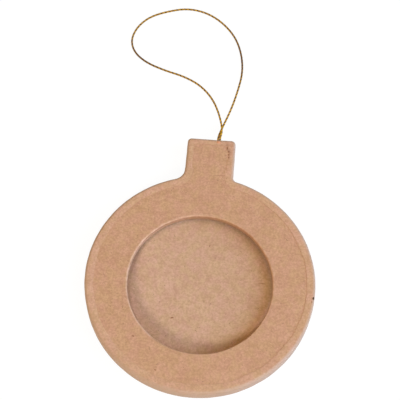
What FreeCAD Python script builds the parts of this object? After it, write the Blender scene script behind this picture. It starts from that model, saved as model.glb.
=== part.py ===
import FreeCAD, Part
import math
import os

# A round hanging picture frame of brown board, lying on its back.
# Z points out of the front face, Y from the round body to the neck, and the
# back face rests on Z = 0. All sizes are in millimetres.

# Outline of the body, seen from the front
disc_d = 95.0
neck_rise = 18.0
neck_w = 21.0
neck_corner_r = 2.0
shoulder_left_r = 5.0
shoulder_right_r = 2.0

# Board layers, and the paper strip that covers the edge
back_t = 2.2
spacer_t = 2.2
front_t = 2.4
wrap_t = 0.35
edge_r = 1.1
lip_w = 2.7
seam_rise = 0.6

# Window in the front board and the wider picture pocket behind it
border_w = 17.5
window_drop = 1.4
window_edge_r = 0.45
pocket_margin = 4.0

# Thread loop, the hole that it leaves by, and its knot inside the neck
thread_d = 0.8
thread_gap = 0.2
thread_x = 2.9
floor_gap = 0.05
knot_depth = 8.0
knot_len = 3.2
knot_gap = 0.05
knot_pocket_gap = 1.2

# Levels of the layers above the surface that the frame lies on
back_z = wrap_t
spacer_z = back_z + back_t
front_z = spacer_z + spacer_t
face_z = front_z + front_t
total_t = face_z + wrap_t
thread_z = spacer_z + spacer_t / 2
thread_floor_z = thread_d / 2 + floor_gap

# Plan positions worked out from the outline
disc_r = disc_d / 2
window_r = disc_r - border_w
disc_y = -neck_rise / 2
neck_top_y = disc_y + disc_r + neck_rise
window_y = disc_y - window_drop
strand_step = thread_d + thread_gap
hole_d = 2 * thread_d + 3 * thread_gap
channel_w = hole_d + 2 * thread_gap
knot_y = neck_top_y - knot_depth - knot_len / 2

# Smallest corner that an inset outline may keep
corner_min_r = 0.3

# A rounded edge is drawn as flats that touch its round, and turn by the same
# angle from one to the next
edge_flats = 2
flat_turn = math.radians(90 / (edge_flats + 1))

# Share of the shorter run that each arc of the thread takes up, and the number
# of sides of its plain tube
arc_share = 0.45
thread_sides = 10

# The loop as it lies: x from the hole's axis, y beyond the neck's top edge,
# and the height of the thread's middle
loop_points = [
    (1.3, 11.0, 2.8),
    (-2.4, 20.6, 0.5),
    (-9.2, 28.8, thread_floor_z),
    (-17.4, 33.8, thread_floor_z),
    (-26.9, 36.4, thread_floor_z),
    (-34.9, 39.0, thread_floor_z),
    (-40.9, 43.8, thread_floor_z),
    (-43.5, 50.6, thread_floor_z),
    (-41.7, 58.3, thread_floor_z),
    (-36.2, 64.0, thread_floor_z),
    (-28.9, 67.6, thread_floor_z),
    (-19.4, 70.0, thread_floor_z),
    (-10.5, 68.2, thread_floor_z),
    (-2.4, 63.4, thread_floor_z),
    (3.8, 56.5, thread_floor_z),
    (7.1, 47.5, thread_floor_z),
    (8.3, 37.5, thread_floor_z),
    (7.0, 28.5, thread_floor_z),
    (4.5, 20.0, thread_floor_z),
    (1.5, 10.5, 1.1),
]

# How far the straight stretch through the hole goes beyond the neck
lead_out = 1.5


def vec(x, y, z=0.0):
    return FreeCAD.Vector(x, y, z)


def shoulder_points(side, radius, inset):
    """Ends and middle of the hollow arc between disc and neck."""
    r = disc_r - inset
    hollow = radius + inset
    half = neck_w / 2 - inset
    away = half + hollow
    centre = vec(side * away, disc_y + math.sqrt((r + hollow) ** 2 - away ** 2))
    on_neck = vec(side * half, centre.y)
    to_disc = (vec(0, disc_y) - centre).normalize()
    to_neck = vec(-side, 0)
    on_disc = centre + to_disc * hollow
    middle = centre + (to_disc + to_neck).normalize() * hollow
    return on_disc, middle, on_neck


def corner_arc(side, inset):
    """Rounded top corner of the neck, from its side to its top edge."""
    half = neck_w / 2 - inset
    top = neck_top_y - inset
    r = max(neck_corner_r - inset, corner_min_r)
    centre = vec(side * (half - r), top - r)
    diagonal = r / math.sqrt(2)
    on_side = vec(side * half, top - r)
    on_top = vec(side * (half - r), top)
    middle = centre + vec(side * diagonal, diagonal)
    return on_side, middle, on_top


def outline(inset):
    """Closed wire of the frame's outline, drawn in from its edge."""
    disc_right, bend_right, neck_right = shoulder_points(1, shoulder_right_r, inset)
    disc_left, bend_left, neck_left = shoulder_points(-1, shoulder_left_r, inset)
    side_right, round_right, top_right = corner_arc(1, inset)
    side_left, round_left, top_left = corner_arc(-1, inset)
    bottom = vec(0, disc_y - disc_r + inset)
    edges = [
        Part.Arc(disc_right, bend_right, neck_right).toShape(),
        Part.LineSegment(neck_right, side_right).toShape(),
        Part.Arc(side_right, round_right, top_right).toShape(),
        Part.LineSegment(top_right, top_left).toShape(),
        Part.Arc(top_left, round_left, side_left).toShape(),
        Part.LineSegment(side_left, neck_left).toShape(),
        Part.Arc(neck_left, bend_left, disc_left).toShape(),
        Part.Arc(disc_left, bottom, disc_right).toShape(),
    ]
    return Part.Wire(edges)


def prism(wire, low, high):
    """Straight solid of a flat wire between two levels."""
    solid = Part.Face(wire).extrude(vec(0, 0, high - low))
    solid.translate(vec(0, 0, low))
    return solid


def edge_corners(radius):
    """Steps in from the side and down from the face along a rounded edge."""
    reach = radius / math.cos(flat_turn / 2)
    corners = []
    for number in range(edge_flats + 1):
        angle = flat_turn * (number + 0.5)
        corners.append((radius - reach * math.cos(angle), radius - reach * math.sin(angle)))
    return corners


def pillow(inset):
    """The frame's body with its front and back edges rounded."""
    corners = edge_corners(edge_r - inset)
    levels = [(step, inset + drop) for step, drop in reversed(corners)]
    levels += [(step, total_t - inset - drop) for step, drop in corners]
    wires = []
    for step, z in levels:
        wire = outline(inset + step)
        wire.translate(vec(0, 0, z))
        wires.append(wire)
    return Part.makeLoft(wires, True, True)


def slab(low, high):
    """A layer wider than the frame, used to take one board out of the body."""
    reach = 2 * (disc_d + neck_rise)
    box = Part.makeBox(reach, reach, high - low)
    box.translate(vec(-reach / 2, -reach / 2, low))
    return box


def board(core, low, high):
    """One board layer of the body inside the paper."""
    return core.common(slab(low, high))


def round_cutter(radius, x, y, low, high):
    return Part.makeCylinder(radius, high - low, vec(x, y, low), vec(0, 0, 1))


def window_cutter():
    """Round hole whose mouth flares by the softened edge of the window."""
    profile = [vec(0, 0, front_z), vec(window_r, 0, front_z)]
    for step, drop in edge_corners(window_edge_r):
        profile.append(vec(window_r + step, 0, face_z - drop))
    profile.append(vec(0, 0, face_z))
    profile.append(profile[0])
    cutter = Part.Face(Part.makePolygon(profile)).revolve(vec(0, 0), vec(0, 0, 1), 360)
    cutter.translate(vec(0, window_y))
    return cutter


def make_front_board(core):
    """Front board with its round window."""
    return board(core, front_z, face_z).cut(window_cutter())


def make_spacer_board(core):
    """Middle board: picture pocket, thread channel and room for the knot."""
    layer = board(core, spacer_z, front_z)
    pocket_r = window_r + pocket_margin
    layer = layer.cut(round_cutter(pocket_r, 0, window_y, spacer_z, front_z))
    knot_room_r = knot_len / 2 + knot_pocket_gap
    layer = layer.cut(round_cutter(knot_room_r, thread_x, knot_y, spacer_z, front_z))
    channel = Part.makeBox(channel_w, neck_top_y - knot_y, spacer_t)
    channel.translate(vec(thread_x - channel_w / 2, knot_y, spacer_z))
    return layer.cut(channel)


def make_back_board(core):
    """Plain back board, which is also the floor behind the window."""
    return board(core, back_z, spacer_z)


def make_wraps(core):
    """Paper strip round the edge: one length on the disc, one on the neck."""
    paper = pillow(0).cut(core)
    paper = paper.cut(prism(outline(lip_w), -total_t, 2 * total_t))
    hole = Part.makeCylinder(
        hole_d / 2,
        2 * lip_w,
        vec(thread_x, neck_top_y - lip_w, thread_z),
        vec(0, 1, 0),
    )
    paper = paper.cut(hole)
    left_end = shoulder_points(-1, shoulder_left_r, 0)[2]
    right_end = shoulder_points(1, shoulder_right_r, 0)[2]
    seam_y = max(left_end.y, right_end.y) + seam_rise
    reach = 2 * (disc_d + neck_rise)
    above = Part.makeBox(reach, reach, reach)
    above.translate(vec(-reach / 2, seam_y, -reach / 2))
    return paper.cut(above), paper.common(above)


def thread_route():
    """All points of the thread's middle line, from knot to knot."""
    start_y = neck_top_y - knot_depth
    out_y = neck_top_y + lead_out
    right_x = thread_x + strand_step / 2
    left_x = thread_x - strand_step / 2
    points = [vec(right_x, start_y, thread_z), vec(right_x, out_y, thread_z)]
    for x, y, z in loop_points:
        points.append(vec(thread_x + x, neck_top_y + y, z))
    points.append(vec(left_x, out_y, thread_z))
    points.append(vec(left_x, start_y, thread_z))
    return points


def rounded_path(points):
    """Straight runs joined by tangent arcs, and the arcs' radii."""
    edges = []
    radii = []
    last = points[0]
    for before, corner, after in zip(points, points[1:], points[2:]):
        back = before - corner
        ahead = after - corner
        cut = arc_share * min(back.Length, ahead.Length)
        half_turn = (math.pi - back.getAngle(ahead)) / 2
        radius = cut / math.tan(half_turn)
        back.normalize()
        ahead.normalize()
        start = corner + back * cut
        end = corner + ahead * cut
        inward = (back + ahead).normalize()
        middle = corner + inward * (radius / math.cos(half_turn) - radius)
        edges.append(Part.LineSegment(last, start).toShape())
        edges.append(Part.Arc(start, middle, end).toShape())
        radii.append(radius)
        last = end
    edges.append(Part.LineSegment(last, points[-1]).toShape())
    return Part.Wire(edges), radii


def make_hanging_cord():
    """The thread as a plain tube along its route."""
    points = thread_route()
    path, radii = rounded_path(points)
    corners = []
    for side in range(thread_sides + 1):
        angle = 2 * math.pi * side / thread_sides
        across = vec(math.cos(angle), 0, math.sin(angle))
        corners.append(points[0] + across * (thread_d / 2))
    ring = Part.makePolygon(corners)
    tube = path.makePipeShell([ring], True, True)
    plain_volume = Part.Face(ring).Area * path.Length
    print("thread radii:", " ".join(f"{r:.1f}" for r in radii))
    print(f"thread length {path.Length:.1f}, volume ratio {tube.Volume / plain_volume:.4f}")
    return tube


def make_cord_knot():
    """Knot of both strands: a barrel whose flat end takes the two strands."""
    end_r = strand_step / 2 + thread_d / 2
    belly_r = spacer_t / 2 - knot_gap
    top = neck_top_y - knot_depth
    low = top - knot_len
    profile = Part.Wire(
        [
            Part.LineSegment(vec(0, low), vec(end_r, low)).toShape(),
            Part.Arc(vec(end_r, low), vec(belly_r, knot_y), vec(end_r, top)).toShape(),
            Part.LineSegment(vec(end_r, top), vec(0, top)).toShape(),
            Part.LineSegment(vec(0, top), vec(0, low)).toShape(),
        ]
    )
    knot = Part.Face(profile).revolve(vec(0, 0), vec(0, 1), 360)
    knot.translate(vec(thread_x, 0, thread_z))
    return knot


def main():
    core = pillow(wrap_t)
    rim_wrap, neck_wrap = make_wraps(core)
    pieces = {
        "front_board": make_front_board(core),
        "spacer_board": make_spacer_board(core),
        "back_board": make_back_board(core),
        "rim_wrap": rim_wrap,
        "neck_wrap": neck_wrap,
        "hanging_cord": make_hanging_cord(),
        "cord_knot": make_cord_knot(),
    }
    os.makedirs("parts", exist_ok=True)
    for name, shape in pieces.items():
        solids = shape.Solids
        solid = solids[0] if len(solids) == 1 else Part.makeCompound(solids)
        solid.exportStep(f"parts/{name}.step")
        box = solid.BoundBox
        print(
            f"{name}: {len(solids)} solid, valid {solid.isValid()}, {solid.Volume:.1f} mm3, "
            f"x {box.XMin:.2f} {box.XMax:.2f}, y {box.YMin:.2f} {box.YMax:.2f}, "
            f"z {box.ZMin:.2f} {box.ZMax:.2f}"
        )


main()
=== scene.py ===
"""Looks of a round hanging picture frame of brown kraft board with a gold thread."""

import logging
import math
from dataclasses import dataclass
from enum import Enum

import bmesh
import bpy
import numpy as np
from mathutils import Matrix, Vector, noise


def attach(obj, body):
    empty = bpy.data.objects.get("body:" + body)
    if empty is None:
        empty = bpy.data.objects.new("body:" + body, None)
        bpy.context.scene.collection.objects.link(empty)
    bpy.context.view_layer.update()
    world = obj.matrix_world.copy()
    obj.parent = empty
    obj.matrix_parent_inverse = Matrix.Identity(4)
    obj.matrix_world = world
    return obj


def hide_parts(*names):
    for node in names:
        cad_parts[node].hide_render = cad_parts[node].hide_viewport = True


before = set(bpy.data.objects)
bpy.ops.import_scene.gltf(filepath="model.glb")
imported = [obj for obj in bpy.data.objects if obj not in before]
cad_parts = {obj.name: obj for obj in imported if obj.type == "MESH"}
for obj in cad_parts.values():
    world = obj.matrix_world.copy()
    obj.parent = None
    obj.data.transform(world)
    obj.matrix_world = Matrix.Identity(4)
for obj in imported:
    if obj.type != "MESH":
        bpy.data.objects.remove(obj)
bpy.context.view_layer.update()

log = logging.getLogger("picture_frame")

MM = 0.001
ROOT = "root"

Tone = tuple[float, float, float]
Tint = tuple[float, float, float, float]
Point = tuple[float, float, float]
Socket = bpy.types.NodeSocket
Material = bpy.types.Material


class Slot(Enum):
    """Material slots of the record."""

    KRAFT_FACE = "kraft_face"
    KRAFT_WRAP = "kraft_wrap"
    GOLD_THREAD = "gold_thread"


class Strip(Enum):
    """The two lengths of paper that cover the edge."""

    NECK = "neck"
    RIM = "rim"


class Run(Enum):
    """Runs of the outline, counter-clockwise from the seam right of the neck."""

    RIGHT_HIGH = 0
    RIGHT_CORNER = 1
    TOP = 2
    LEFT_CORNER = 3
    LEFT_HIGH = 4
    LEFT_LOW = 5
    LEFT_SHOULDER = 6
    DISC = 7
    RIGHT_SHOULDER = 8
    RIGHT_LOW = 9


STRIP_RUNS = {
    Strip.NECK: [Run.RIGHT_HIGH, Run.RIGHT_CORNER, Run.TOP, Run.LEFT_CORNER, Run.LEFT_HIGH],
    Strip.RIM: [Run.LEFT_LOW, Run.LEFT_SHOULDER, Run.DISC, Run.RIGHT_SHOULDER, Run.RIGHT_LOW],
}


def linear(red: float, green: float, blue: float) -> Tint:
    """Turn a colour as it looks on screen into the shader's linear colour.

    Args:
        red: Red, from 0 to 255.
        green: Green, from 0 to 255.
        blue: Blue, from 0 to 255.

    Returns:
        Linear red, green, blue and an alpha of 1.
    """
    channels = []
    for value in (red, green, blue):
        share = value / 255
        channels.append(share / 12.92 if share <= 0.04045 else ((share + 0.055) / 1.055) ** 2.4)
    return (*channels, 1.0)


def bell(distance: float, reach: float) -> float:
    """Smooth bump that is 1 at no distance and fades to 0 around `reach`."""
    return math.exp(-((distance / reach) ** 2))


def ramp(distance: float, reach: float) -> float:
    """Straight rise from 0 at no distance to 1 at `reach`, and level on both sides."""
    return min(1.0, max(0.0, distance / reach))


def unit(rows: np.ndarray) -> np.ndarray:
    """Directions of some vectors, one in each row."""
    return rows / np.linalg.norm(rows, axis=1, keepdims=True)


def band(rows: int, columns: int, start: int = 0, joined: bool = False) -> list[tuple[int, ...]]:
    """Quads between rows of points, each row closed round.

    Args:
        rows: Number of rows.
        columns: Points in each row.
        start: Number of the first point.
        joined: Whether the last row joins the first.

    Returns:
        Point numbers of each quad, row by row.
    """
    quads = []
    for row in range(rows if joined else rows - 1):
        low = start + row * columns
        high = start + (row + 1) % rows * columns
        for column in range(columns):
            after = (column + 1) % columns
            quads.append((low + column, low + after, high + after, high + column))
    return quads


def put_in_scene(name: str, data: bpy.types.ID) -> bpy.types.Object:
    """Make an object of some data and link it to the scene.

    Args:
        name: Name of the object.
        data: Its mesh, curve, lamp or camera.

    Returns:
        The new object.
    """
    thing = bpy.data.objects.new(name, data)
    bpy.context.scene.collection.objects.link(thing)
    return thing


@dataclass(frozen=True)
class Play:
    """Smooth random play of a surface or an edge, with features `size` millimetres wide."""

    height: float
    size: float
    seed: float
    line: float = 0.0

    def at(self, x: float, y: float) -> float:
        """Play at a place in millimetres, up to about its height either way."""
        return self.height * noise.noise(Vector((x / self.size, y / self.size, self.seed)))

    def along(self, distance: float) -> float:
        """Play at a distance along its line."""
        return self.at(distance, self.line)


class NodeDesk:
    """Adds and links the nodes of one tree."""

    def __init__(self, tree: bpy.types.NodeTree) -> None:
        """Clear a tree to work on."""
        self.tree = tree
        tree.nodes.clear()

    def add(
        self, kind: str, given: dict[str | int, object] | None = None, **settings: object
    ) -> bpy.types.Node:
        """Add a node.

        Args:
            kind: Blender's name of the node type.
            given: Output socket or plain value for each input, by name or number.
            **settings: Properties to set on the node.

        Returns:
            The new node.
        """
        node = self.tree.nodes.new(kind)
        for key, value in settings.items():
            setattr(node, key, value)
        for key, value in (given or {}).items():
            if isinstance(value, Socket):
                self.tree.links.new(value, node.inputs[key])
            else:
                node.inputs[key].default_value = value
        return node

    def math(self, operation: str, first: object, second: object) -> Socket:
        """Work out a sum, product or the like of two numbers or sockets."""
        return self.add("ShaderNodeMath", {0: first, 1: second}, operation=operation).outputs[0]


class FinishDesk(NodeDesk):
    """Adds and links the nodes of one material."""

    def __init__(self, name: str) -> None:
        """Start a material with an empty node tree.

        Args:
            name: Name of the new material.
        """
        self.material = bpy.data.materials.new(name)
        self.material.use_nodes = True
        super().__init__(self.material.node_tree)

    def place(
        self, stretch: Point = (1.0, 1.0, 1.0), turn: float = 0.0, shift: float = 0.0
    ) -> Socket:
        """Object coordinates in millimetres.

        Args:
            stretch: How much denser the pattern is along each axis.
            turn: Turn about Z in degrees, before the stretch.
            shift: Offset in millimetres that sets patterns apart.

        Returns:
            The vector socket.
        """
        source = self.add("ShaderNodeTexCoord").outputs["Object"]
        turned = self.add("ShaderNodeMapping", {"Vector": source, "Rotation": (0, 0, math.radians(turn))})
        given = {
            "Vector": turned.outputs["Vector"],
            "Location": (shift, shift, shift),
            "Scale": tuple(axis / MM for axis in stretch),
        }
        return self.add("ShaderNodeMapping", given).outputs["Vector"]

    def span(
        self, value: Socket, low: float, high: float, start: float = 0.0, end: float = 1.0
    ) -> Socket:
        """Map a value between `low` and `high` smoothly onto `start` to `end`."""
        given = {"Value": value, "From Min": low, "From Max": high, "To Min": start, "To Max": end}
        return self.add("ShaderNodeMapRange", given, interpolation_type="SMOOTHSTEP").outputs["Result"]

    def blend(self, share: object, under: object, over: object, kind: str = "MIX") -> Socket:
        """Mix two colours, where `share` says how much of the one over shows."""
        given = {0: share, 6: under, 7: over}
        return self.add("ShaderNodeMix", given, data_type="RGBA", blend_type=kind).outputs[2]

    def mark(self, name: str) -> Socket:
        """Read a number that the mesh carries at each point."""
        return self.add("ShaderNodeAttribute", attribute_name=name).outputs["Fac"]

    def bump(self, height: Socket, strength: float, depth: float) -> Socket:
        """Normal that is bumped by a height from 0 to 1, where 1 is `depth` in millimetres."""
        given = {"Strength": strength, "Distance": depth * MM, "Height": height}
        return self.add("ShaderNodeBump", given).outputs["Normal"]

    def finish(self, colour: object, roughness: object, normal: Socket, **sockets: float) -> Material:
        """Close the material with its surface shader.

        Args:
            colour: Base colour.
            roughness: Roughness.
            normal: Bumped normal.
            **sockets: Plain values of other sockets, spaces as underscores.

        Returns:
            The finished material.
        """
        given = {"Base Color": colour, "Roughness": roughness, "Normal": normal}
        given.update({key.replace("_", " "): value for key, value in sockets.items()})
        shader = self.add("ShaderNodeBsdfPrincipled", given)
        self.add("ShaderNodeOutputMaterial", {"Surface": shader.outputs[0]})
        return self.material


@dataclass(frozen=True)
class Pattern:
    """Random pattern in a surface, and the most that it dims and lights the tone.

    The size is the width of its largest features in millimetres, and `detail` and `rough` are
    the number and the strength of its finer octaves.
    """

    size: float
    detail: float = 2.0
    rough: float = 0.5
    dim: float = 1.0
    lit: float = 1.0
    low: float = 0.34
    high: float = 0.66
    stretch: Point = (1.0, 1.0, 1.0)
    turn: float = 0.0
    shift: float = 0.0

    def read(self, desk: FinishDesk, turn: float = 0.0, shift: float = 0.0) -> Socket:
        """Read the pattern.

        Args:
            desk: The material's nodes.
            turn: Turn of the sheet in degrees.
            shift: Offset of the sheet in millimetres.

        Returns:
            The pattern, from 0 to 1 around 0.5.
        """
        given = {
            "Vector": desk.place(self.stretch, self.turn + turn, self.shift + shift),
            "Scale": 1 / self.size,
            "Detail": self.detail,
            "Roughness": self.rough,
        }
        return desk.add("ShaderNodeTexNoise", given).outputs[0]

    def shade(self, desk: FinishDesk, value: Socket, strength: float = 1.0) -> Socket:
        """Factor by which the pattern, as it was read, dims and lights the tone."""
        dim, lit = (1 + (most - 1) * strength for most in (self.dim, self.lit))
        return desk.span(value, self.low, self.high, dim, lit)


@dataclass(frozen=True)
class Coat:
    """Tone that shows where the mesh is marked, broken up between two levels of a pattern."""

    mark: str
    tone: Tone
    low: float
    high: float
    least: float

    def lay(self, desk: FinishDesk, colour: Socket, pattern: Socket) -> Socket:
        """Lay the tone over a colour, broken up by a pattern."""
        broken = desk.span(pattern, self.low, self.high, self.least, 1.0)
        return desk.blend(desk.math("MULTIPLY", desk.mark(self.mark), broken), colour, linear(*self.tone))


@dataclass(frozen=True)
class PaintedLightRing:
    """Tint of painted light and shade that grows from the inner to the outer radius round a point of a
    face.
    """

    x: float
    y: float
    inner: float
    outer: float
    tint: Tint

    def lay(self, desk: FinishDesk, colour: Socket) -> Socket:
        """Lay the tint over a colour.

        Args:
            desk: The material's nodes.
            colour: Colour under it.

        Returns:
            The tinted colour.
        """
        given = {0: desk.place(stretch=(1.0, 1.0, 0.0)), 1: (self.x, self.y, 0.0)}
        away = desk.add("ShaderNodeVectorMath", given, operation="DISTANCE").outputs["Value"]
        return desk.blend(desk.span(away, self.inner, self.outer), colour, self.tint, "MULTIPLY")


@dataclass(frozen=True)
class KraftFinish:
    """Brown kraft paper: cloudy pulp, fine grain, fibres and flecks."""

    name: str
    tone: Tone
    pale: Tone
    dark: Tone
    cloud_share: float = 0.25
    grain_share: float = 0.18
    fibre_share: float = 0.15
    fleck_share: float = 0.5
    turn: float = 4.0
    shift: float = 0.0
    rings: tuple[PaintedLightRing, ...] = ()
    cloud: Pattern = Pattern(9.0, 3.0, 0.55, low=0.3, high=0.7)
    patch: Pattern = Pattern(2.2, dim=0.955, lit=1.033)
    curl: Pattern = Pattern(0.9, dim=0.91, lit=1.072)
    grain: Pattern = Pattern(0.5, 4.0, 0.7, dim=0.7, lit=1.24)
    fibre: Pattern = Pattern(0.4, 3.0, 0.6, 0.74, 1.2, 0.36, 0.64, stretch=(0.34, 1.0, 0.6), shift=7)
    stray: Pattern = Pattern(
        0.5, 3.0, 0.6, 0.92, 1.08, 0.4, 0.66, stretch=(1.0, 0.4, 0.6), turn=28, shift=19
    )
    hue: Pattern = Pattern(4.2, 3.0, 0.55, low=0.36, high=0.64, turn=63, shift=53)
    olive: Tint = (0.985, 1.01, 0.95, 1.0)
    rosy: Tint = (1.015, 0.985, 1.05, 1.0)
    paling: tuple[float, float, float] = (0.8, 1.02, 1.32)
    fleck_stretch: Point = (0.7, 1.0, 1.0)
    fleck_turn: float = 40.0
    flecks_per_mm: float = 0.55
    fleck_core: tuple[float, float] = (0.05, 0.16)
    fleck_chosen: tuple[float, float] = (0.72, 0.8)
    fleck_tones: tuple[Tone, Tone] = ((150, 104, 70), (226, 192, 158))
    # Paler greyish tone on the paper's rounded outer side: partly rubbed paper, partly painted sheen and
    # bounce light from the white floor.
    side: Coat = Coat("side", (181, 156, 137), 0.2, 0.6, 0.75)
    # Pale cream painted highlight on the window's rolled edge, broken up by the patch pattern.
    painted_light_mark: Coat = Coat("painted_light_mark", (230, 194, 164), 0.3, 0.62, 0.35)
    # Dark brown for glue and scuffs on the paper's lips, and for painted shade on the window's cut wall.
    stain_and_shade: Coat = Coat("stain_and_shade", (118, 78, 50), 0.3, 0.6, 0.6)
    grain_height: float = 0.55
    bump: float = 0.8
    relief: float = 0.028
    rough_between: tuple[float, float] = (0.3, 0.7)
    roughness: tuple[float, float] = (0.81, 0.91)
    sheen: float = 0.25

    def build(self) -> Material:
        """Make the material.

        Returns:
            The finished material.
        """
        desk = FinishDesk(self.name)
        cloud, patch, curl, grain, hue = (
            pattern.read(desk, shift=self.shift)
            for pattern in (self.cloud, self.patch, self.curl, self.grain, self.hue)
        )
        fibre = self.fibre.read(desk, self.turn, self.shift)
        stray = self.stray.read(desk, self.turn, self.shift)

        pulp = desk.span(cloud, self.cloud.low, self.cloud.high)
        colour = desk.blend(pulp, linear(*self.dark), linear(*self.pale))
        colour = desk.blend(1 - self.cloud_share, colour, linear(*self.tone))
        light = self.grain.shade(desk, grain, self.grain_share)
        for factor in (
            self.patch.shade(desk, patch),
            self.curl.shade(desk, curl),
            self.fibre.shade(desk, fibre, self.fibre_share),
            self.stray.shade(desk, stray, self.fibre_share),
        ):
            light = desk.math("MULTIPLY", light, factor)
        channels = {index: desk.math("POWER", light, power) for index, power in enumerate(self.paling)}
        shade = desk.add("ShaderNodeCombineColor", channels)
        colour = desk.blend(1.0, colour, shade.outputs[0], "MULTIPLY")
        warmth = desk.blend(desk.span(hue, self.hue.low, self.hue.high), self.olive, self.rosy)
        colour = desk.blend(1.0, colour, warmth, "MULTIPLY")

        colour = self.add_flecks(desk, colour)
        # Paler side tone (partly painted sheen), painted highlight on the window's edge, then stains with
        # painted shade.
        colour = self.side.lay(desk, colour, patch)
        colour = self.painted_light_mark.lay(desk, colour, patch)
        colour = self.stain_and_shade.lay(desk, colour, grain)
        # Rings of painted light and shade.
        for ring in self.rings:
            colour = ring.lay(desk, colour)

        high_grain = desk.math("MULTIPLY", grain, self.grain_height)
        height = desk.math("ADD", high_grain, desk.math("MULTIPLY", fibre, 1 - self.grain_height))
        normal = desk.bump(height, self.bump, self.relief)
        rough = desk.span(fibre, *self.rough_between, *self.roughness)
        return desk.finish(colour, rough, normal, Specular_IOR_Level=self.sheen)

    def add_flecks(self, desk: FinishDesk, colour: Socket) -> Socket:
        """Strew dim and lit flecks over a colour.

        Args:
            desk: The material's nodes.
            colour: Colour under them.

        Returns:
            The colour with the flecks.
        """
        vector = desk.place(self.fleck_stretch, self.fleck_turn, self.shift)
        cells = desk.add("ShaderNodeTexVoronoi", {"Vector": vector, "Scale": self.flecks_per_mm})
        core = desk.span(cells.outputs["Distance"], *self.fleck_core, 1.0, 0.0)
        chance = desk.add("ShaderNodeSeparateColor", {0: cells.outputs["Color"]})
        for channel, tone in enumerate(self.fleck_tones):
            chosen = desk.span(chance.outputs[channel], *self.fleck_chosen)
            share = desk.math("MULTIPLY", desk.math("MULTIPLY", core, chosen), self.fleck_share)
            colour = desk.blend(share, colour, linear(*tone))
        return colour


@dataclass(frozen=True)
class ThreadFinish:
    """One kind of yarn in the thread, with painted glint: dull along the loop and bright at the neck."""

    name: str
    # Each deep tone is painted shade in the grooves between wraps; dull and bright are the ends of the
    # painted glint.
    dull: Tone
    dull_deep: Tone
    bright: Tone
    bright_deep: Tone
    metallic: float
    roughness: tuple[float, float]
    wraps_per_mm: float = 5.0
    ridge: tuple[float, float] = (-0.9, 0.6)
    glint: Pattern = Pattern(0.35, rough=0.6, low=0.3, high=0.7)
    tone_breaks: tuple[float, float, float] = (0.3, 0.65, 0.45)
    painted_glint_breaks: tuple[float, float, float] = (0.3, 0.6, 0.7)
    bump: float = 0.6
    relief: float = 0.03
    sheen: float = 0.2

    def build(self) -> Material:
        """Make the material.

        Returns:
            The finished material.
        """
        desk = FinishDesk(self.name)
        strand = desk.add("ShaderNodeUVMap", uv_map="strand").outputs["UV"]
        along, around, _ = desk.add("ShaderNodeSeparateXYZ", {0: strand}).outputs
        slope = desk.math("ADD", desk.math("MULTIPLY", along, self.wraps_per_mm), around)
        wave = desk.math("SINE", desk.math("MULTIPLY", slope, 2 * math.pi), 0.0)
        ridge = desk.span(wave, *self.ridge)
        glint = self.glint.read(desk)
        # Painted highlight on the ridges of the wraps, painted shade in the grooves between them.
        share = desk.math("MULTIPLY", ridge, desk.span(glint, *self.tone_breaks, 1.0))
        # Painted glint: bright gold near the neck, duller round the loop.
        painted_glint = desk.math("MULTIPLY", desk.mark("painted_glint"), desk.span(glint, *self.painted_glint_breaks, 1.0))
        deep = desk.blend(painted_glint, linear(*self.dull_deep), linear(*self.bright_deep))
        tone = desk.blend(painted_glint, linear(*self.dull), linear(*self.bright))
        rough = desk.span(glint, self.glint.low, self.glint.high, *self.roughness)
        return desk.finish(
            desk.blend(share, deep, tone),
            rough,
            desk.bump(ridge, self.bump, self.relief),
            Metallic=self.metallic,
            Specular_IOR_Level=self.sheen,
        )


@dataclass(frozen=True)
class FleckFinish:
    """Plain fibre colour that varies a little from place to place."""

    name: str
    tone: Tone
    other: Tone
    change: Pattern = Pattern(4.0, low=0.35, high=0.65)
    grain: Pattern = Pattern(0.2, low=0.3, high=0.7)
    roughness: tuple[float, float] = (0.8, 0.95)
    bump: float = 0.4
    relief: float = 0.01
    sheen: float = 0.2

    def build(self) -> Material:
        """Make the material.

        Returns:
            The finished material.
        """
        desk = FinishDesk(self.name)
        change = desk.span(self.change.read(desk), self.change.low, self.change.high)
        colour = desk.blend(change, linear(*self.tone), linear(*self.other))
        grain = self.grain.read(desk)
        rough = desk.span(grain, self.grain.low, self.grain.high, *self.roughness)
        normal = desk.bump(grain, self.bump, self.relief)
        return desk.finish(colour, rough, normal, Specular_IOR_Level=self.sheen)


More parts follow.
